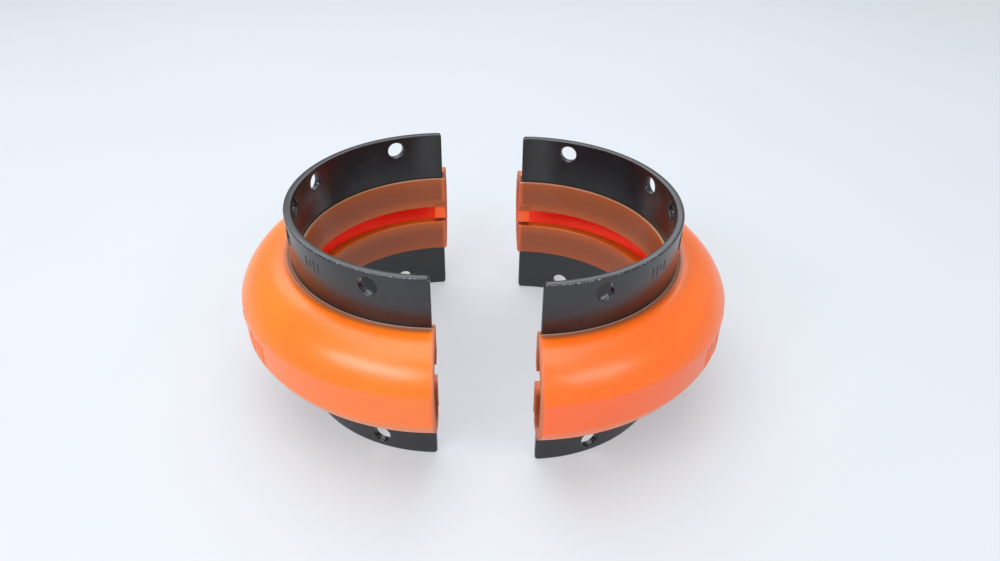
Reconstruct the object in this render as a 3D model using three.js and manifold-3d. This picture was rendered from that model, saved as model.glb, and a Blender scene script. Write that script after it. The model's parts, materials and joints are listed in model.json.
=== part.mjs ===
// Split flexing element of a tyre-type shaft coupling: two half rings that stand on end, apart.
// Each half is two rolled steel shoes bonded into one moulded urethane tyre. Millimetres, +Z up
// along the ring axes, +X from the left half to the right half. The origin is on the floor, midway
// between the two ring axes.
import * as THREE from "three";
import { mergeVertices } from "three/addons/utils/BufferGeometryUtils.js";
import Module from "manifold-3d";

const wasm = await Module();
wasm.setup();

// ---- driving dimensions ----------------------------------------------------------------------
const HEIGHT = 140; // over both shoes, rim to rim
const SHOE_OUTER_R = 104.5;
const STEEL = 5; // plate thickness of a shoe
const SHOE_ROOT = 9; // embedded edge of a shoe, above or below the middle plane
const SHOE_CUT = 2.8; // the steel ends stop this far short of the split plane
const RIM_CHAMFER = 0.8; // broken edges round the open rim

const HOLE_D = 12.5; // radial bolt holes to the hub
const HOLE_DROP = 10; // hole centre below its rim
const HOLE_ANGLES = [-67.5, -22.5, 0, 22.5, 67.5]; // degrees from the middle of a half

const TYRE_R = 140; // over the crown band
const TYRE_CUT = 1; // the urethane ends stop this far short of the split plane
const CROWN_HALF = 11; // half width of the flat crown band
const BEAD_HALF = 34; // the outside bead meets the shoe here, above and below the middle
const WALL = 8; // urethane wall of the arch
const COVER = 3; // urethane over the outside of the embedded steel
const LINER = 2.5; // urethane liner over the inside of the steel
const LINER_HALF = 32.6; // outer edge of a liner, above and below the middle
const GROOVE_HALF = 7; // half width of the groove between the liners
const SKIN = 0.3; // clearance between urethane and steel

const FLARE = { deep: 3, tall: 3.5 }; // where the groove opens out into the cavity
const TAB = { wide: 8.7, top: 12.4, bottom: -3.1, proud: 0.8, back: 1.6 }; // at the back ends

const AXIS_X = 29.5; // each ring axis from the origin, along X
const AXIS_Y = 3.65; // the left half stands back by this much, and the right half forward

// ---- what follows from them ------------------------------------------------------------------
const MIDDLE = HEIGHT / 2;
const SHOE_INNER_R = SHOE_OUTER_R - STEEL;
const LINER_R = SHOE_INNER_R - LINER;
const COVER_R = SHOE_OUTER_R + SKIN + COVER;
const RING_STEPS = 80; // facets in a full turn, one of them square to every bolt hole
const HOLE_STEPS = 20;
const ARCH_STEPS = 9;
const REACH = 400; // longer than anything here, for cutting boxes

// ---- mesh helpers ----------------------------------------------------------------------------
function toSolid(geometry) {
  const bare = geometry.clone();
  bare.deleteAttribute("normal");
  bare.deleteAttribute("uv");
  const merged = mergeVertices(bare, 1e-4);
  return new wasm.Manifold(
    new wasm.Mesh({
      numProp: 3,
      vertProperties: new Float32Array(merged.attributes.position.array),
      triVerts: new Uint32Array(merged.index.array),
    }),
  );
}

function toGeometry(solid) {
  const mesh = solid.getMesh();
  const geometry = new THREE.BufferGeometry();
  const places = new Float32Array(mesh.vertProperties);
  geometry.setAttribute("position", new THREE.BufferAttribute(places, 3));
  geometry.setIndex(new THREE.BufferAttribute(new Uint32Array(mesh.triVerts), 1));
  geometry.computeVertexNormals();
  return geometry;
}

// A box from its low corner to its high corner.
function block(low, high) {
  const size = high.map((value, i) => value - low[i]);
  const box = new THREE.BoxGeometry(...size);
  box.translate(...low.map((value, i) => value + size[i] / 2));
  return toSolid(box);
}

// A full ring about Z from a closed outline of [radius, height above the middle] points.
function ring(outline) {
  const points = outline.map(([r, h]) => new THREE.Vector2(r, MIDDLE + h));
  if (THREE.ShapeUtils.area(points) < 0) points.reverse();
  points.push(points[0].clone());
  const lathe = new THREE.LatheGeometry(points, RING_STEPS, Math.PI / RING_STEPS);
  lathe.rotateX(Math.PI / 2);
  return toSolid(lathe);
}

// The half of a ring on the +X side, ending short of the split plane.
function half(solid, cut) {
  return solid.intersect(block([cut, -REACH, -REACH], [REACH, REACH, REACH]));
}

// ---- steel shoes -----------------------------------------------------------------------------
function shoeOutline(side) {
  const rim = MIDDLE;
  return [
    [SHOE_INNER_R, SHOE_ROOT],
    [SHOE_OUTER_R, SHOE_ROOT],
    [SHOE_OUTER_R, rim - RIM_CHAMFER],
    [SHOE_OUTER_R - RIM_CHAMFER, rim],
    [SHOE_INNER_R + RIM_CHAMFER, rim],
    [SHOE_INNER_R, rim - RIM_CHAMFER],
  ].map(([r, h]) => [r, side * h]);
}

function boltHole(degrees, height) {
  const drill = new THREE.CylinderGeometry(HOLE_D / 2, HOLE_D / 2, 4 * STEEL, HOLE_STEPS);
  drill.rotateZ(Math.PI / 2);
  drill.translate(SHOE_OUTER_R - STEEL / 2, 0, height);
  drill.rotateZ(THREE.MathUtils.degToRad(degrees));
  return toSolid(drill);
}

// side is 1 for the upper shoe and -1 for the lower one
function shoe(side) {
  const height = MIDDLE + side * (MIDDLE - HOLE_DROP);
  return HOLE_ANGLES.reduce(
    (solid, degrees) => solid.subtract(boltHole(degrees, height)),
    half(ring(shoeOutline(side)), SHOE_CUT),
  );
}

// ---- urethane tyre ---------------------------------------------------------------------------
// The outside of the upper arch, from the bead on the shoe to the edge of the crown band.
const arch = new THREE.CubicBezierCurve(
  new THREE.Vector2(SHOE_OUTER_R + SKIN, BEAD_HALF),
  new THREE.Vector2(SHOE_OUTER_R + 12, BEAD_HALF + 6.4),
  new THREE.Vector2(TYRE_R - 7.8, CROWN_HALF + 18.7),
  new THREE.Vector2(TYRE_R, CROWN_HALF),
);

// Upper half of the section, from the middle of the groove out to the middle of the crown along
// the steel side, then back along the inside of the cavity.
function tyreOutline() {
  const outside = [];
  const inside = [];
  for (let i = 0; i <= ARCH_STEPS; i += 1) {
    const point = arch.getPoint(i / ARCH_STEPS);
    const along = arch.getTangent(i / ARCH_STEPS);
    outside.push([point.x, point.y]);
    const depth = [point.x + along.y * WALL, point.y - along.x * WALL];
    if (depth[0] > COVER_R + 2) inside.push(depth);
  }
  const pocket = [
    [LINER_R, GROOVE_HALF],
    [LINER_R, LINER_HALF],
    [SHOE_INNER_R - SKIN, LINER_HALF],
    [SHOE_INNER_R - SKIN, SHOE_ROOT - SKIN],
    [SHOE_OUTER_R + SKIN, SHOE_ROOT - SKIN],
  ];
  const cavity = [
    ...inside.reverse(),
    [COVER_R, inside.at(-1)[1] - 3],
    [COVER_R, GROOVE_HALF + FLARE.tall],
    [COVER_R - FLARE.deep, GROOVE_HALF],
  ];
  const flip = (points) => points.map(([r, h]) => [r, -h]).reverse();
  return [...pocket, ...outside, ...flip([...pocket, ...outside]), ...flip(cavity), ...cavity];
}

// A locating tab hangs from the upper liner across the groove at one end of a half.
function tab(end) {
  const low = [TYRE_CUT, LINER_R - TAB.proud, MIDDLE + TAB.bottom];
  const high = [TYRE_CUT + TAB.wide, LINER_R + TAB.back, MIDDLE + TAB.top];
  return end > 0 ? block(low, high) : block([low[0], -high[1], low[2]], [high[0], -low[1], high[2]]);
}

// The left half is turned to face the right one, so its tab changes ends to stay at the back.
function tyre(side) {
  return half(ring(tyreOutline()), TYRE_CUT).add(tab(side));
}

// ---- the assembly ----------------------------------------------------------------------------
const paintedSteel = { color: 0x26272b, roughness: 0.42, metalness: 0.3 };
const urethane = { color: 0xff7a35, roughness: 0.45, metalness: 0 };

const coupling = new THREE.Group();
for (const [name, side] of [["left", -1], ["right", 1]]) {
  const halfRing = new THREE.Group();
  halfRing.position.set(side * AXIS_X, -side * AXIS_Y, 0);
  halfRing.rotation.z = side < 0 ? Math.PI : 0;
  const pieces = [
    { name: "tyre", solid: tyre(side), finish: urethane },
    { name: "upper_shoe", solid: shoe(1), finish: paintedSteel },
    { name: "lower_shoe", solid: shoe(-1), finish: paintedSteel },
  ];
  for (const piece of pieces) {
    const finish = new THREE.MeshStandardMaterial(piece.finish);
    const mesh = new THREE.Mesh(toGeometry(piece.solid), finish);
    mesh.name = `${name}_${piece.name}`;
    halfRing.add(mesh);
  }
  coupling.add(halfRing);
}

export default coupling;
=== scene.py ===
"""Looks for a split tyre coupling element: two half rings of orange urethane on black steel shoes.

Metres, in the row frame. Each half is built about its own ring axis with its open side at x = 0,
then turned and moved to where the frame's wind-up joint says that axis is.
"""
import json
import math

import bmesh
import bpy
from mathutils import Matrix, Vector, noise


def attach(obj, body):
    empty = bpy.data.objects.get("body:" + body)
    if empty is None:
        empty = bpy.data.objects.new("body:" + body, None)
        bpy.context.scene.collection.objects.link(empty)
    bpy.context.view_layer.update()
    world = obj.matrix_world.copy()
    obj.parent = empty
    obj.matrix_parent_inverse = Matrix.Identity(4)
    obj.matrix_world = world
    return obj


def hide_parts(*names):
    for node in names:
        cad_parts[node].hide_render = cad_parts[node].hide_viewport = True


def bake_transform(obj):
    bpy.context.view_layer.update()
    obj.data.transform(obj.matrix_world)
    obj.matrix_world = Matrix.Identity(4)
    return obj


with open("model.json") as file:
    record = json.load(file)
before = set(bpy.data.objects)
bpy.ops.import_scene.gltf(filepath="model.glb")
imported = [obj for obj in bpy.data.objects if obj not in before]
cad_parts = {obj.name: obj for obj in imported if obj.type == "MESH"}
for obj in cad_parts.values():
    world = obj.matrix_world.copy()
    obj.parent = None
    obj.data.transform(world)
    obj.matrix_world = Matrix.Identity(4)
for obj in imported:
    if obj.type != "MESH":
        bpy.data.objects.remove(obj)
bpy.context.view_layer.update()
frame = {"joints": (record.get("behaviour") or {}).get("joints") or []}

MM = 0.001

# ---- sizes, in millimetres, about the ring axis and the middle plane --------------------------
SHOE_OUT, SHOE_IN = 104.5, 99.5
SHOE_RIM, SHOE_ROOT = 70.0, 9.0
SHOE_CUT = 2.8  # the steel ends stop this far short of the split plane
SHOE_EDGE = 0.75  # rounding of the plate's long edges
SHOE_CORNER = 2.6  # rounding of the plate's corners at the rim
SHOE_STEP = 1.6  # degrees between spokes, away from the bolt holes
HOLE_R, HOLE_H = 6.25, 60.0
HOLE_EDGE = 0.55
HOLE_ANGLES = (-67.5, -22.5, 0.0, 22.5, 67.5)
PATCH = 8.4  # half the width of the square of plate that is redrawn round a hole
PATCH_CELLS = 12

TYRE_R, CROWN = 140.0, 11.0
TYRE_CUT = 1.0  # the urethane ends stop this far short of the split plane
TYRE_EDGE = 0.5
TYRE_SPOKES = 118
BEAD = 34.0
WALL = 8.0
COVER_R = 107.8
LINER_R, LINER_H = 97.0, 32.6
GROOVE = 7.0
FLARE_DEEP, FLARE_TALL, FLARE_EDGE = 3.0, 3.5, 1.2
SKIN = 0.15  # clearance between urethane and steel
ARCH = ((SHOE_OUT + SKIN, BEAD - 0.3), (112.0, 37.8), (132.0, 31.5), (TYRE_R, CROWN))

TAB_WIDE, TAB_TOP, TAB_LOW = 8.7, 12.4, -3.1
TAB_INSET, TAB_PROUD, TAB_BACK, TAB_EDGE = 0.3, 0.6, 2.0, 0.5
TAB_LEVELS = 8

ARC_END = 86.0  # degrees from the middle of a half to its last spoke
FREE = 9.0  # how far a point may be moved inwards where no rounding limits it
FAR_DEPTH = 99.0  # stands for the depth from an end, on the spokes between the ends
MANY_SIDES = 10  # only the flat end faces have this many sides


# ---- outlines ---------------------------------------------------------------------------------
def area(points):
    """Twice the area inside a closed outline, positive if it runs anticlockwise."""
    return sum(a[0] * b[1] - b[0] * a[1] for a, b in zip(points, [*points[1:], points[0]]))


def rounded(points, steps=4):
    """A closed outline from (r, h, corner radius) points, with an arc at each rounded corner.

    Each point that comes back is (r, h, how far it can be moved inwards).
    """
    out = []
    count = len(points)
    direction = 1 if area(points) < 0 else -1
    for i, (r, h, radius) in enumerate(points):
        here = Vector((r, h))
        if radius <= 0:
            out.append(Vector((r, h, FREE)))
            continue
        before = Vector(points[i - 1][:2])
        after = Vector(points[(i + 1) % count][:2])
        a = (before - here).normalized()
        b = (after - here).normalized()
        half = a.angle(b) / 2
        room = 0.48 * min((before - here).length, (after - here).length)
        reach = min(radius / math.tan(half), room)
        radius = reach * math.tan(half)
        centre = here + (a + b).normalized() * (radius / math.sin(half))
        start = here + a * reach - centre
        turn = start.angle_signed(here + b * reach - centre)
        limit = radius * 0.7 if turn * direction > 0 else FREE
        for k in range(steps + 1):
            angle = -turn * k / steps
            spoke = Vector((
                start.x * math.cos(angle) - start.y * math.sin(angle),
                start.x * math.sin(angle) + start.y * math.cos(angle),
            ))
            out.append((centre + spoke).to_3d() + Vector((0, 0, limit)))
    return out


def bezier(points, t):
    """The point at t, from 0 to 1, on a cubic curve."""
    a, b, c, d = (Vector(p) for p in points)
    s = 1 - t
    return a * s**3 + b * 3 * s * s * t + c * 3 * s * t * t + d * t**3


def bezier_slope(points, t):
    """The direction of the curve there."""
    a, b, c, d = (Vector(p) for p in points)
    s = 1 - t
    return ((b - a) * s * s + (c - b) * 2 * s * t + (d - c) * t * t).normalized()


def inset(outline, depth):
    """The outline moved inwards by depth or as far as each point may go, to round an end's edge."""
    out = []
    count = len(outline)
    side = 1 if area(outline) > 0 else -1
    for i, (r, h, limit) in enumerate(outline):
        here = Vector((r, h))
        a = (here - outline[i - 1].xy).normalized()
        b = (outline[(i + 1) % count].xy - here).normalized()
        along = (a + b).normalized() if (a + b).length > 1e-6 else a
        out.append(here + Vector((-along.y, along.x)) * min(depth, limit) * side)
    return out


# ---- sweeping an outline round the ring axis ---------------------------------------------------
def end_stations(edge, depths):
    """Places across an end, from its face inwards, as (depth, inset), with the edge rounded."""
    steps = 3
    turn = [math.pi / 2 * (1 - k / steps) for k in range(steps + 1)]
    curl = [(edge * (1 - math.sin(a)), edge * (1 - math.cos(a))) for a in turn]
    return curl + [(depth, 0.0) for depth in depths]


def stations(ends, angles):
    """Every place the outline is drawn at.

    That is (end, depth, inset) across an end, where end is -1 or 1, and (0, angle, 0) on a spoke.
    """
    first = [(-1, depth, inwards) for depth, inwards in ends]
    last = [(1, depth, inwards) for depth, inwards in reversed(ends)]
    return first + [(0, angle, 0.0) for angle in angles] + last


def place(point, station, cut):
    """Millimetres about the ring axis for an outline point at a station."""
    end, value, _ = station
    r, h = point[:2]
    if end:
        x = cut + value
        return Vector((x, end * math.sqrt(r * r - x * x), h))
    angle = math.radians(value)
    return Vector((r * math.cos(angle), r * math.sin(angle), h))


def wrap(bm, rows, skip=()):
    """Quads between neighbouring closed rows of vertices, and a flat face at each end."""
    count = len(rows[0])
    for j in range(len(rows) - 1):
        for k in range(count):
            if (j, k) in skip:
                continue
            n = (k + 1) % count
            bm.faces.new((rows[j][k], rows[j][n], rows[j + 1][n], rows[j + 1][k]))
    bm.faces.new(rows[0][::-1])
    bm.faces.new(rows[-1])


def finished(bm, name, half, material):
    """The mesh as an object, moved from millimetres about the ring axis to its place in the row."""
    bmesh.ops.delete(bm, geom=[v for v in bm.verts if not v.link_faces], context="VERTS")
    bmesh.ops.recalc_face_normals(bm, faces=bm.faces)
    for face in bm.faces:
        face.smooth = len(face.verts) < MANY_SIDES
    turn = Matrix.Rotation(math.pi, 4, "Z") if half == "left" else Matrix.Identity(4)
    to_row = Matrix.Translation(AXIS[half]) @ turn @ Matrix.Scale(MM, 4)
    bmesh.ops.transform(bm, verts=bm.verts, matrix=to_row)
    mesh = bpy.data.meshes.new(name)
    bm.to_mesh(mesh)
    bm.free()
    mesh.materials.append(material)
    obj = bpy.data.objects.new(name, mesh)
    bpy.context.scene.collection.objects.link(obj)
    return obj


def near_end(half):
    """Which end of a half is nearest the camera, as the sign of y before the half is turned."""
    return -1 if half == "right" else 1


def smoothstep(value, low, high):
    """0 below low, 1 above high, and a smooth rise between them."""
    t = min(max((value - low) / (high - low), 0.0), 1.0)
    return t * t * (3 - 2 * t)


def raised_bar(bm, angle, radius, height, size, layer, amount):
    """A plain bar with rounded edges standing on the outside of a ring."""
    made = bmesh.ops.create_cube(bm, size=1.0)["verts"]
    spot = Matrix.Rotation(math.radians(angle), 4, "Z") @ Matrix.Translation((radius, 0, height))
    bmesh.ops.transform(bm, verts=made, matrix=spot @ Matrix.Diagonal((*size, 1.0)))
    edges = {edge for vert in made for edge in vert.link_edges}
    grown = bmesh.ops.bevel(
        bm, geom=[*made, *edges], offset=min(size) * 0.3, segments=3, profile=0.6, affect="EDGES",
    )
    for vert in grown["verts"]:
        vert[layer] = amount


# ---- the moulded tyre ---------------------------------------------------------------------------
ARCH_START, ARCH_STEPS = 0.17, 28
CROWN_LEVELS = (6.9, 6.5, 4.9, 4.5, 2.2)  # points across half the crown band, for the strokes on it
CROWN_SLOPE = 0.02


def tyre_half_outline():
    """The upper half of the section, in two runs: outside from the groove to the crown, and inside."""
    outside = [
        (LINER_R, GROOVE, 1.0),
        *[(LINER_R, h, 0.0) for h in (SHOE_ROOT, 11.5, 15.0, 22.0, 28.0, LINER_H - 2.2)],
        (LINER_R, LINER_H, 0.7),
        (SHOE_IN - 0.9, LINER_H, 0.0),
        (SHOE_IN - SKIN, LINER_H, 0.3),
        (SHOE_IN - SKIN, SHOE_ROOT - SKIN, 0.0),
        (SHOE_OUT + SKIN, SHOE_ROOT - SKIN, 0.0),
        (SHOE_OUT + SKIN, BEAD + 1.5, 0.1),
        (SHOE_OUT + 0.5, BEAD + 1.5, 0.15),
        (SHOE_OUT + 0.9, BEAD + 1.15, 0.0),
        (SHOE_OUT + 1.4, BEAD + 0.82, 0.0),
        (SHOE_OUT + 2.2, BEAD + 0.58, 0.0),
        (SHOE_OUT + 3.2, BEAD + 0.56, 0.0),
    ]
    inside = []
    for i in range(ARCH_STEPS + 1):
        t = ARCH_START + (1 - ARCH_START) * i / ARCH_STEPS
        point = bezier(ARCH, t)
        along = bezier_slope(ARCH, t)
        outside.append((point.x, point.y, 1.2 if i == ARCH_STEPS else 0.0))
        if i % 2 == 0:
            inside.append((point.x + along.y * WALL, point.y - along.x * WALL, 0.0))
    inside = inside[::-1] + [
        (COVER_R, inside[0][1] - 0.5, 3.0),
        (COVER_R, GROOVE + FLARE_TALL, FLARE_EDGE),
        (COVER_R - FLARE_DEEP, GROOVE, FLARE_EDGE),
        (COVER_R - 5.0, GROOVE, 0.0),
        (LINER_R + 2.5, GROOVE, 0.0),
    ]
    return outside, inside


def tyre_outline():
    """The whole closed section of a tyre."""
    outside, inside = tyre_half_outline()
    crown = [(TYRE_R + CROWN_SLOPE * (CROWN - h), h, 0.0) for h in CROWN_LEVELS]
    upper = [*inside, *outside, *crown]
    return rounded(upper + [(r, -h, radius) for r, h, radius in reversed(upper)])


def backing(r, h, depth):
    """How far the black steel behind thin urethane darkens it."""
    away = SHOE_CUT - TYRE_CUT
    inwards = smoothstep(depth, away - 1.2, away + 1.6)
    if r > SHOE_OUT:
        near_bead = abs(h) > BEAD - 2
        return inwards * (1 - smoothstep(r, SHOE_OUT + 0.8, SHOE_OUT + 6.0)) if near_bead else 0.0
    if abs(h) <= GROOVE + 0.1:
        return 0.7 * inwards
    tall = smoothstep(abs(h), GROOVE, 17.0) - 0.5 * smoothstep(abs(h), 24.0, LINER_H)
    return inwards * (0.68 + 0.32 * tall)


def lip(r, h):
    """The thin edges where the urethane feathers out on the steel."""
    outer = SHOE_OUT <= r <= SHOE_OUT + 0.6 and abs(h) > BEAD + 1.2
    inner = LINER_R + 0.5 < r < SHOE_IN + 0.1 and abs(h) > LINER_H - 0.2
    return 0.75 if outer else 1.0 if inner else 0.0


def painted_shade(r, h):
    """Painted shade in the small fillet between the lip and the shoulder of the arch."""
    if r <= SHOE_OUT or abs(h) <= BEAD:
        return 0.0
    return 0.7 * (1 - smoothstep(r, SHOE_OUT + 0.7, SHOE_OUT + 2.6))


def under_tab(r, h, x):
    """The part of the groove's lower side that the tab keeps the light from, which gets a painted
    shadow.
    """
    behind = LINER_R + 1.2 < r < COVER_R + 4.0
    return behind and -GROOVE - 3.8 < h < 0 and x < TYRE_CUT + TAB_WIDE


def under_arch(r, h):
    """Whether a point of the outline is on the inside of the wall, not the outside."""
    if not (COVER_R - 1.0 < r < TYRE_R - 4.0 and abs(h) < BEAD - 1.5):
        return False
    here = Vector((r, abs(h)))
    return min((bezier(ARCH, i / 40) - here).length for i in range(41)) > WALL * 0.5


# Plain strokes where the real tyre has raised characters: degrees from the middle of a half, and
# half the height in millimetres.
STROKES = [
    (11.5, 6.7), (14.0, 6.7), (16.5, 4.7),
    (29.0, 6.7), (31.3, 4.7), (33.6, 6.7), (35.9, 6.7),
]
STROKE_HALF, STROKE_EDGE = 0.55, 0.18  # half the width and the width of a flank, in degrees
STROKE_RISE, STROKE_DROP = 0.7, 0.6  # height over the crown, and how far below the middle they sit


def tyre_angles(near):
    """Spoke angles round a tyre, with extra ones at the edges of the raised strokes near one end."""
    reach = STROKE_HALF + STROKE_EDGE
    clear = reach + 0.25
    plain = [-ARC_END + 2 * ARC_END * i / TYRE_SPOKES for i in range(TYRE_SPOKES + 1)]
    angles = [a for a in plain if all(abs(near * a - centre) > clear for centre, _ in STROKES)]
    steps = (-reach, -STROKE_HALF, 0.0, STROKE_HALF, reach)
    for centre, _ in STROKES:
        angles += [near * (centre + step) for step in steps]
    return sorted(angles)


def stroke_rise(angle, h, near):
    """Height of the raised strokes over the crown."""
    for centre, tall in STROKES:
        if abs(near * angle - centre) < STROKE_HALF + 0.01 and abs(h + STROKE_DROP) < tall:
            return STROKE_RISE
    return 0.0


def raggedness(spot, depth, half):
    """How far the rough moulded end is moved along x at a point."""
    seed = Vector((spot.y * 0.5, spot.z * 0.5, 7.0 if half == "left" else 31.0))
    ragged = noise.noise(seed) + 0.6 * noise.noise(seed * 3.1)
    return (0.22 if depth < 0.02 else 0.36) * ragged * (1 - smoothstep(depth, 0.0, 2.4))


TYRE_LAYERS = (
    "steel_behind_and_shade", "thin_lip", "painted_shade", "cavity_glow",
    "cut_face", "tab", "redder_batch", "crown_band_reflection",
)


def tyre_marks(point, spot, depth, near, inner):
    """What the material has to know at one point of a tyre, for each layer that varies along it."""
    r, h = point.xy
    near_side = spot.y * near > 0
    far_side = spot.y * near < 0
    # Painted shade on the cavity's inside near the near end. It shares a layer with the real browning
    # where steel shows through thin urethane.
    painted_end_shade = 1 - smoothstep(spot.x, 8.0, 24.0) if inner and near_side else 0.0
    # Painted shade in the fillet beside the lip.
    dark = painted_shade(r, h) * smoothstep(depth, 0.0, 1.5)
    # A painted shadow on the groove's lower side, behind the tab at the far end.
    if far_side and under_tab(r, h, spot.x):
        dark = 0.9
    return {
        "steel_behind_and_shade": max(painted_end_shade, backing(r, h, depth)),
        "thin_lip": lip(r, h),
        "painted_shade": dark,
        # A painted red glow on the cavity's inside, fading towards the ends.
        "cavity_glow": smoothstep(spot.x, 2.0, 24.0 if near_side else 6.0) if inner else 0.0,
        "cut_face": 1 - smoothstep(depth, 0.4, 3.0),
        # The upright crown band is marked for a painted reflection tint.
        "crown_band_reflection": 1.0 if r > TYRE_R - 0.25 else 0.0,
    }


def make_tyre(half, material):
    """A moulded tyre with its strokes and its tab, as one object."""
    bm = bmesh.new()
    layers = {name: bm.verts.layers.float.new(name) for name in TYRE_LAYERS}
    near = near_end(half)
    outline = tyre_outline()
    inner = [under_arch(p.x, p.y) for p in outline]
    ends = end_stations(TYRE_EDGE, [0.9, 1.4, 2.0, 2.8, 3.8])
    rows = []
    for station in stations(ends, tyre_angles(near)):
        end, value, inwards = station
        depth = value if end else FAR_DEPTH
        row = []
        for k, point in enumerate(inset(outline, inwards)):
            if not end and outline[k].x > TYRE_R:
                point.x += stroke_rise(value, outline[k].y, near)
            spot = place(point, station, TYRE_CUT)
            spot.x += raggedness(spot, depth, half)
            vert = bm.verts.new(spot)
            for name, amount in tyre_marks(outline[k], spot, depth, near, inner[k]).items():
                vert[layers[name]] = amount
            vert[layers["redder_batch"]] = 1.0 if half == "right" else 0.0
            row.append(vert)
        rows.append(row)
    wrap(bm, rows)
    add_tab(bm, -near, layers)
    return finished(bm, f"{half}_tyre_moulding", half, material)


def add_tab(bm, end, layers):
    """The locating tab hanging from the upper liner across the groove, at the far end of the half."""
    left, right = TYRE_CUT + TAB_INSET, TYRE_CUT + TAB_WIDE
    front, back = end * (LINER_R - TAB_PROUD), end * (LINER_R + TAB_BACK)
    corners = [(left, front), (right, front), (right, back), (left, back)]
    outline = rounded([(x, y, TAB_EDGE) for x, y in corners], 3)
    curl = end_stations(TAB_EDGE, [])
    tall = TAB_TOP - TAB_LOW
    levels = [(TAB_LOW + depth, inwards) for depth, inwards in curl]
    levels += [(TAB_LOW + tall * i / TAB_LEVELS, 0.0) for i in range(1, TAB_LEVELS)]
    levels += [(TAB_TOP - depth, inwards) for depth, inwards in reversed(curl)]
    rows = []
    for level, inwards in levels:
        row = [bm.verts.new((point.x, point.y, level)) for point in inset(outline, inwards)]
        for vert in row:
            vert[layers["steel_behind_and_shade"]] = 0.85 * smoothstep(level, GROOVE - 1.2, GROOVE + 1.0)
            vert[layers["tab"]] = 1.0
        rows.append(row)
    wrap(bm, rows)


# ---- the steel shoes ------------------------------------------------------------------------------
LOW_ROWS = [SHOE_ROOT, 18.0, 27.0, 31.5, 34.0, 37.0, 41.0, 46.0]
HOLE_ROWS = [HOLE_H - PATCH + 2 * PATCH * i / PATCH_CELLS for i in range(PATCH_CELLS + 1)]
SHOE_ROWS = LOW_ROWS + HOLE_ROWS
PATCH_ANGLE = math.degrees(math.asin(PATCH / (SHOE_OUT - 2.5)))
# Plain bars where the real shoe has stamped characters.
MARK_HEIGHTS = (6.5, 4.0, 6.5, 6.5)
MARK_START, MARK_STEP = 39.5, 2.3


def shoe_angles():
    """Spoke angles along a shoe, close together at the bolt holes, and where each patch starts."""
    angles, starts = [], []
    here = -ARC_END
    for hole in (*HOLE_ANGLES, None):
        to = ARC_END if hole is None else hole - PATCH_ANGLE
        steps = max(2, round((to - here) / SHOE_STEP))
        angles += [here + (to - here) * i / steps for i in range(steps)]
        if hole is None:
            angles.append(to)
            break
        starts.append(len(angles))
        angles += [to + 2 * PATCH_ANGLE * i / PATCH_CELLS for i in range(PATCH_CELLS)]
        here = hole + PATCH_ANGLE
    return angles, starts


def shoe_outline():
    """A closed section of a shoe, up its inside, over the rim and down its outside."""
    curl = [math.pi / 2 * k / 3 for k in range(4)]
    inner = [Vector((SHOE_IN, h, FREE)) for h in SHOE_ROWS]
    outer = [Vector((SHOE_OUT, h, FREE)) for h in reversed(SHOE_ROWS)]
    low, hold = SHOE_RIM - SHOE_EDGE, SHOE_EDGE * 0.7
    over = [(SHOE_EDGE * (1 - math.cos(a)), low + SHOE_EDGE * math.sin(a)) for a in curl]
    over_in = [Vector((SHOE_IN + step, h, hold)) for step, h in over]
    over_out = [Vector((SHOE_OUT - step, h, hold)) for step, h in over]
    return inner + over_in + over_out[::-1] + outer


def rim_drop(depth):
    """How far the rounded corner of the plate has dropped at this depth from the end."""
    if depth >= SHOE_CORNER:
        return 0.0
    return SHOE_CORNER - math.sqrt(SHOE_CORNER**2 - (SHOE_CORNER - depth) ** 2)


def hole_rings(bm, layer, angle, side, boundary_out, boundary_in):
    """The plate round one bolt hole: rings of quads from each square patch to a rounded edge."""
    edge = HOLE_EDGE
    shifts = [(0.0, edge), (0.3 * edge, 0.3 * edge), (edge, 0.0)]

    def flat(vert):
        """Where a vertex is on the plate laid flat, from the middle of the hole."""
        spoke = math.radians(angle)
        across = -vert.co.x * math.sin(spoke) + vert.co.y * math.cos(spoke)
        return Vector((across, side * vert.co.z - HOLE_H))

    def lay(spot, radius, wear_and_glint):
        """A new vertex at a flat place, bent back to the ring."""
        turn = math.radians(angle) + math.asin(spot.x / radius)
        co = (radius * math.cos(turn), radius * math.sin(turn), side * (HOLE_H + spot.y))
        vert = bm.verts.new(co)
        vert[layer] = wear_and_glint
        return vert

    def one_side(boundary, radius, sign):
        flats = [flat(vert) for vert in boundary]
        rims = [spot.normalized() * (HOLE_R + edge) for spot in flats]
        rings = [boundary]
        for mix in (0.45, 0.8):
            rings.append([lay(a.lerp(b, mix), radius, 0.0) for a, b in zip(flats, rims)])
        for down, out in shifts:
            level = radius + sign * down
            # The rounded hole edges get edge wear with painted glints.
            rings.append([lay(spot.normalized() * (HOLE_R + out), level, 0.6) for spot in flats])
        return rings

    rings = one_side(boundary_out, SHOE_OUT, -1) + one_side(boundary_in, SHOE_IN, 1)[::-1]
    count = len(boundary_out)
    for a, b in zip(rings, rings[1:]):
        for i in range(count):
            n = (i + 1) % count
            bm.faces.new((a[i], a[n], b[n], b[i]))


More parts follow.
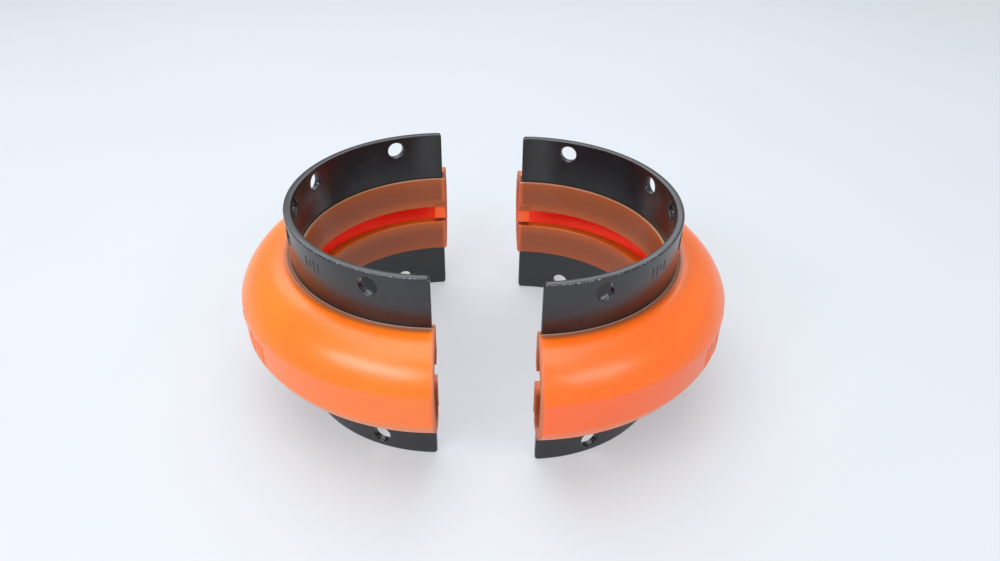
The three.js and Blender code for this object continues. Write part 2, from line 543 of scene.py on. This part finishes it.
def make_shoe(half, side, name, material):
    """A rolled shoe with its bolt holes, where side is 1 for the upper one and -1 for the lower."""
    bm = bmesh.new()
    wear_and_glint = bm.verts.layers.float.new("edge_wear_and_glint")
    outline = shoe_outline()
    angles, starts = shoe_angles()
    ends = end_stations(SHOE_EDGE, [1.2, 1.8, SHOE_CORNER, 3.9])
    first = len(ends)
    last = len(outline) - 1
    rows = []
    for station in stations(ends, angles):
        end, value, inwards = station
        depth = value if end else FAR_DEPTH
        row = []
        for point in inset(outline, inwards):
            drop = rim_drop(depth) * smoothstep(point.y, HOLE_H - PATCH, SHOE_RIM)
            spot = place((point.x, point.y - drop), station, SHOE_CUT)
            vert = bm.verts.new((spot.x, spot.y, side * spot.z))
            # The rim's outer rounded corner gets edge wear with painted glints.
            corner = point.x > SHOE_OUT - SHOE_EDGE * 0.9 and point.y > SHOE_RIM - SHOE_EDGE * 0.9
            vert[wear_and_glint] = 1.0 if corner else 0.0
            row.append(vert)
        rows.append(row)
    low = len(LOW_ROWS)
    skip = set()
    for start in starts:
        for j in range(first + start, first + start + PATCH_CELLS):
            for k in range(low, low + PATCH_CELLS):
                skip.add((j, k))
                skip.add((j, last - 1 - k))
    wrap(bm, rows, skip)

    def square(start, index):
        """The patch boundary in order, where index maps a row number to its place in the outline."""
        a, b = first + start, first + start + PATCH_CELLS
        c, d = low, low + PATCH_CELLS
        path = [(j, c) for j in range(a, b)] + [(b, k) for k in range(c, d)]
        path += [(j, d) for j in range(b, a, -1)] + [(a, k) for k in range(d, c, -1)]
        return [rows[j][index(k)] for j, k in path]

    for angle, start in zip(HOLE_ANGLES, starts):
        outside = square(start, lambda k: last - k)
        inside = square(start, lambda k: k)
        hole_rings(bm, wear_and_glint, angle, side, outside, inside)
    if side > 0:
        for i, tall in enumerate(MARK_HEIGHTS):
            angle = near_end(half) * (MARK_START + MARK_STEP * i)
            raised_bar(bm, angle, SHOE_OUT, HOLE_H - 1.0, (0.5, 1.0, tall), wear_and_glint, 0.35)
    return finished(bm, name, half, material)


# ---- materials ------------------------------------------------------------------------------------
class Nodes:
    """A short way to write a material's nodes and links."""

    def __init__(self, name):
        self.material = bpy.data.materials.new(name)
        self.material.use_nodes = True
        self.tree = self.material.node_tree
        self.tree.nodes.clear()
        self.output = self.tree.nodes.new("ShaderNodeOutputMaterial")

    def add(self, kind, settings=None, **inputs):
        node = self.tree.nodes.new("ShaderNode" + kind)
        for key, value in (settings or {}).items():
            setattr(node, key, value)
        for key, value in inputs.items():
            self.put(node, key.replace("_", " "), value)
        return node

    def put(self, node, key, value):
        """Set or link an input, by its name or as i and its number."""
        numbered = key[0] == "i" and key[1:].isdigit()
        socket = node.inputs[int(key[1:]) if numbered else key]
        if isinstance(value, bpy.types.NodeSocket):
            self.tree.links.new(value, socket)
        else:
            socket.default_value = value

    def noise(self, scale, detail=2.0, roughness=0.5):
        node = self.add("TexNoise", Scale=scale, Detail=detail, Roughness=roughness)
        self.put(node, "Vector", self.add("TexCoord").outputs["Object"])
        return node.outputs["Fac"]

    def ramp(self, value, low, high, to_low=0.0, to_high=1.0):
        ends = {"From_Min": low, "From_Max": high, "To_Min": to_low, "To_Max": to_high}
        return self.add("MapRange", Value=value, **ends).outputs["Result"]

    def math(self, operation, a, b=0.0):
        return self.add("Math", {"operation": operation}, i0=a, i1=b).outputs[0]

    def mix(self, factor, a, b):
        node = self.add("Mix", {"data_type": "RGBA"}, i0=factor, i6=a, i7=b)
        return node.outputs[2]

    def read(self, name):
        return self.add("Attribute", {"attribute_name": name}).outputs["Fac"]

    def bump(self, height, strength, distance):
        node = self.add("Bump", Height=height, Strength=strength, Distance=distance)
        return node.outputs["Normal"]

    def finish(self, shader):
        self.tree.links.new(shader.outputs[0], self.output.inputs["Surface"])
        return self.material


def colour(red, green, blue):
    """Linear colour from the usual 0 to 255 values."""
    def linear(value):
        value /= 255
        return value / 12.92 if value <= 0.04045 else ((value + 0.055) / 1.055) ** 2.4
    return (linear(red), linear(green), linear(blue), 1.0)


def urethane():
    n = Nodes("orange_urethane")
    cloud = n.ramp(n.noise(18.0, 3.0), 0.35, 0.65)
    batch = n.read("redder_batch")
    tint = n.mix(cloud, colour(252, 127, 16), colour(250, 120, 14))
    redder = n.mix(cloud, colour(252, 116, 16), colour(250, 109, 14))
    tint = n.mix(batch, tint, redder)
    # The upright crown band gets a paler coral tint: a painted reflection of the pale floor, and
    # painted shade because less light reaches it.
    coral = n.mix(batch, colour(252, 122, 40), colour(252, 107, 40))
    tint = n.mix(n.ramp(n.read("crown_band_reflection"), 0.7, 0.95), tint, coral)
    layers = {}
    for name, shade in (
        # Red painted glow inside the cavity.
        ("cavity_glow", colour(236, 66, 26)),
        ("cut_face", colour(196, 108, 72)),
        # The tab's redder orange is painted glow, like the cavity's.
        ("tab", colour(252, 98, 20)),
        # Brown where steel shows through thin urethane, and painted shade inside the cavity near the
        # near end.
        ("steel_behind_and_shade", colour(150, 72, 28)),
        # Dark brown painted shade, in the fillet by the lip and under the tab.
        ("painted_shade", colour(64, 34, 24)),
        ("thin_lip", colour(184, 142, 112)),
    ):
        layers[name] = n.read(name)
        tint = n.mix(layers[name], tint, shade)
    glow, cut, tab, behind = (layers[k] for k in ("cavity_glow", "cut_face", "tab", "steel_behind_and_shade"))
    normal = n.bump(n.noise(60.0, 0.0), 0.12, 0.0004)
    rough = n.ramp(n.noise(60.0, 1.0), 0.3, 0.7, 0.29, 0.32)
    dull = n.math("MAXIMUM", cut, n.math("MAXIMUM", glow, layers["thin_lip"]))
    rough = n.math("MAXIMUM", rough, n.math("MULTIPLY", dull, 0.75))
    shader = n.add(
        "BsdfPrincipled", {"subsurface_method": "RANDOM_WALK"},
        Base_Color=tint, Roughness=rough, Normal=normal, IOR=1.58,
    )
    held = n.math("MAXIMUM", behind, n.math("MAXIMUM", tab, n.math("MULTIPLY", cut, 0.8)))
    n.put(shader, "Subsurface Weight", n.ramp(held, 0.0, 1.0, 0.8, 0.0))
    n.put(shader, "Subsurface Radius", (1.0, 0.25, 0.06))
    n.put(shader, "Subsurface Scale", 0.008)
    # Painted glow: the cavity's inside, and the tab below the groove's edge, give off a faint red
    # light.
    n.put(shader, "Emission Color", colour(255, 40, 8))
    lit = n.math("MAXIMUM", glow, n.math("SUBTRACT", tab, behind))
    n.put(shader, "Emission Strength", n.math("MULTIPLY", lit, 0.09))
    return n.finish(shader)


def black_paint():
    n = Nodes("black_painted_steel")
    cloud = n.ramp(n.noise(40.0, 4.0, 0.6), 0.4, 0.7)
    base = n.mix(cloud, colour(16, 17, 21), colour(24, 25, 30))
    specks = n.ramp(n.noise(640.0, 1.0, 0.4), 0.79, 0.81)
    base = n.mix(specks, base, colour(110, 106, 100))
    # Edge wear on the rim and hole edges, with painted glints: lighter grey specks of painted highlight
    # along them.
    glint = n.ramp(n.noise(700.0, 2.0, 0.6), 0.54, 0.62)
    wear_and_glint = n.math("MULTIPLY", n.ramp(n.read("edge_wear_and_glint"), 0.5, 0.95), glint)
    base = n.mix(wear_and_glint, base, colour(130, 132, 140))
    normal = n.bump(n.noise(300.0, 2.0), 0.1, 0.00012)
    rough = n.ramp(n.noise(85.0, 4.0, 0.6), 0.3, 0.7, 0.20, 0.28)
    shader = n.add("BsdfPrincipled", Base_Color=base, Roughness=rough, Normal=normal, IOR=1.65)
    return n.finish(shader)


def pale_floor():
    n = Nodes("pale_floor")
    cloud = n.ramp(n.noise(3.0), 0.3, 0.7)
    shade = n.mix(cloud, colour(162, 166, 171), colour(165, 169, 174))
    shader = n.add("BsdfPrincipled", Base_Color=shade, Roughness=0.6)
    n.put(shader, "Emission Color", (0.94, 0.97, 1.0, 1.0))
    n.put(shader, "Emission Strength", 0.335)
    return n.finish(shader)


# ---- the object -----------------------------------------------------------------------------------
AXIS = {}
for joint in frame["joints"]:
    if joint["name"].endswith("_wind_up"):
        AXIS[joint["name"].split("_")[0]] = Vector(joint["pos_m"])

orange, black = urethane(), black_paint()
for half in ("left", "right"):
    tyre = make_tyre(half, orange)
    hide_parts(f"{half}_tyre")
    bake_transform(tyre)
    for level, side in (("upper", 1), ("lower", -1)):
        shoe = make_shoe(half, side, f"{half}_{level}_shoe_plate", black)
        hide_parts(f"{half}_{level}_shoe")
        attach(shoe, f"{half}_{level}")


# ---- floor, light and camera -------------------------------------------------------------------------
FLOOR_R = 4.0
FLOOR_DROP = 0.0002  # keeps the floor just clear of the rims that stand on it
COOL = (0.95, 0.975, 1.0)
LIGHTS = (  # name, place, aim, size and power in watts
    ("overhead", (-0.25, 0.05, 2.2), (0.0, 0.05, 0.0), (2.1, 2.1), 28.0),
    ("front_left", (-0.82, -0.98, 1.05), (0.0, 0.0, 0.08), (1.2, 0.36), 12.0),
    ("front_right", (0.82, -0.98, 1.05), (0.0, 0.0, 0.08), (0.8, 0.36), 5.0),
    ("back", (-0.2, 1.05, 1.05), (0.0, 0.0, 0.08), (1.8, 0.5), 6.5),
)
CAMERA_PLACE = (-0.0074, -0.46342, 0.38379)
CAMERA_TURN = (2.384, 34.010, 0.937)  # heading from +Y towards +X, pitch down and roll, in degrees
CAMERA_LENS, CAMERA_SENSOR = 27.61, 36.0


def make_floor():
    bm = bmesh.new()
    bmesh.ops.create_circle(bm, cap_ends=True, segments=96, radius=FLOOR_R)
    mesh = bpy.data.meshes.new("floor")
    bm.to_mesh(mesh)
    bm.free()
    mesh.materials.append(pale_floor())
    obj = bpy.data.objects.new("floor", mesh)
    obj.location.z = -FLOOR_DROP
    bpy.context.scene.collection.objects.link(obj)


def add_area(name, spot, aim, size, power):
    lamp = bpy.data.lights.new(name, "AREA")
    lamp.shape = "RECTANGLE"
    lamp.size, lamp.size_y = size
    lamp.energy = power
    lamp.color = COOL
    obj = bpy.data.objects.new(name, lamp)
    obj.location = spot
    obj.rotation_euler = (Vector(aim) - Vector(spot)).to_track_quat("-Z", "Y").to_euler()
    bpy.context.scene.collection.objects.link(obj)


def add_camera():
    heading, pitch, roll = (math.radians(a) for a in CAMERA_TURN)
    flat = math.cos(pitch)
    ahead = Vector((math.sin(heading) * flat, math.cos(heading) * flat, -math.sin(pitch)))
    level = Vector((math.cos(heading), -math.sin(heading), 0.0))
    over = level.cross(ahead)
    right = level * math.cos(roll) + over * math.sin(roll)
    up = over * math.cos(roll) - level * math.sin(roll)
    lens = bpy.data.cameras.new("camera")
    lens.lens = CAMERA_LENS
    lens.sensor_width = CAMERA_SENSOR
    lens.clip_start = 0.01
    obj = bpy.data.objects.new("camera", lens)
    turn = Matrix((right, up, -ahead)).transposed().to_4x4()
    obj.matrix_world = Matrix.Translation(CAMERA_PLACE) @ turn
    bpy.context.scene.collection.objects.link(obj)
    bpy.context.scene.camera = obj


world = bpy.data.worlds.new("studio")
world.use_nodes = True
sky = world.node_tree.nodes["Background"]
sky.inputs["Color"].default_value = (0.92, 0.95, 1.0, 1.0)
sky.inputs["Strength"].default_value = 0.52
bpy.context.scene.world = world
bpy.context.scene.view_settings.view_transform = "Standard"

make_floor()
for light in LIGHTS:
    add_area(*light)
add_camera()
